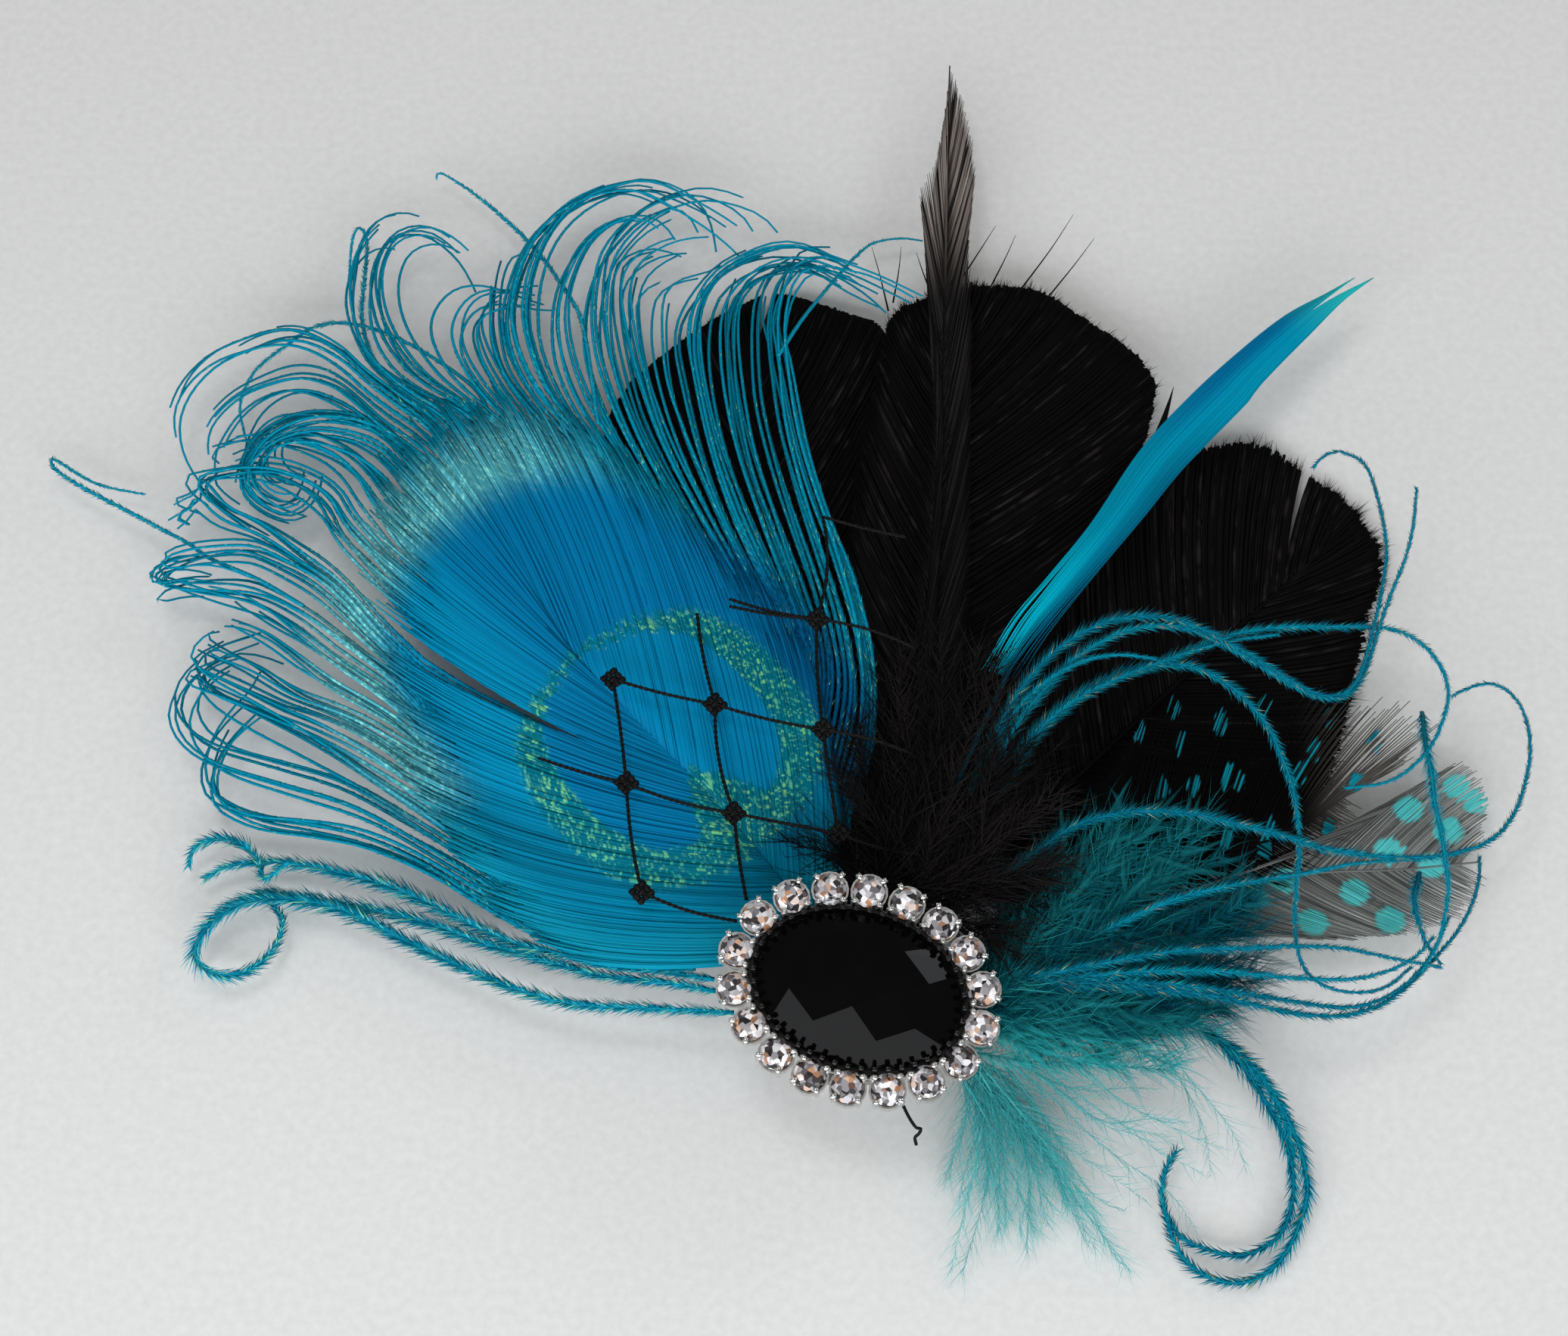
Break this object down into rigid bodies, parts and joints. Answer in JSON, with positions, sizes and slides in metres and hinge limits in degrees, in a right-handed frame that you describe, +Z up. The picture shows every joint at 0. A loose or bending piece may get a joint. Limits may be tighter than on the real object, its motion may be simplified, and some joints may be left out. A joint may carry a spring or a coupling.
{
  "type": "feather fascinator hair clip",
  "caption": "Hair clip with a fan of dyed peacock, goose, hackle and guinea feathers, soft plumes, a net veil and an oval brooch ringed with rhinestones.",
  "frame": {"origin": "under the brooch, on the flat underside of the hair clip, where it lies on a surface", "axes": "+Z up from the clip to the brooch, +Y along the clip from the brooch towards the feather tips, +X to the right as seen with the brooch towards the viewer"},
  "size_m": [0.1762, 0.1728, 0.0197],
  "materials": {
    "black_feather": "satin black feather",
    "hackle": "dark grey hackle barbs",
    "turquoise_feather": "dyed turquoise feather, satin",
    "peacock_feather": "dyed blue peacock barbs with a green-gold eye",
    "guinea_feather": "grey feather with turquoise spots",
    "teal_down": "dyed teal down",
    "black_net": "stiff black netting",
    "silver_setting": "bright silver plate",
    "clear_stone": "cut clear glass with a foiled back",
    "black_stone": "cut black glass",
    "clip_metal": "plain light metal"
  },
  "bodies": {
    "root": {"hair_clip": "clip_metal", "goose_feather_left": "black_feather", "goose_feather_middle": "black_feather", "goose_feather_right": "black_feather", "hackle_feather": "hackle", "turquoise_blade": "turquoise_feather", "guinea_feather_upper": "guinea_feather", "guinea_feather_lower": "guinea_feather", "peacock_feather": "peacock_feather", "net_veil": "black_net", "black_fluff": "black_feather", "teal_plume": "teal_down", "herl_spray": "peacock_feather", "herl_curl": "peacock_feather", "setting": "silver_setting", "oval_stone": "black_stone", "rhinestone_01": "clear_stone", "rhinestone_02": "clear_stone", "rhinestone_03": "clear_stone", "rhinestone_04": "clear_stone", "rhinestone_05": "clear_stone", "rhinestone_06": "clear_stone", "rhinestone_07": "clear_stone", "rhinestone_08": "clear_stone", "rhinestone_09": "clear_stone", "rhinestone_10": "clear_stone", "rhinestone_11": "clear_stone", "rhinestone_12": "clear_stone", "rhinestone_13": "clear_stone", "rhinestone_14": "clear_stone", "rhinestone_15": "clear_stone", "rhinestone_16": "clear_stone", "rhinestone_17": "clear_stone", "rhinestone_18": "clear_stone"}
  },
  "joints": []
}
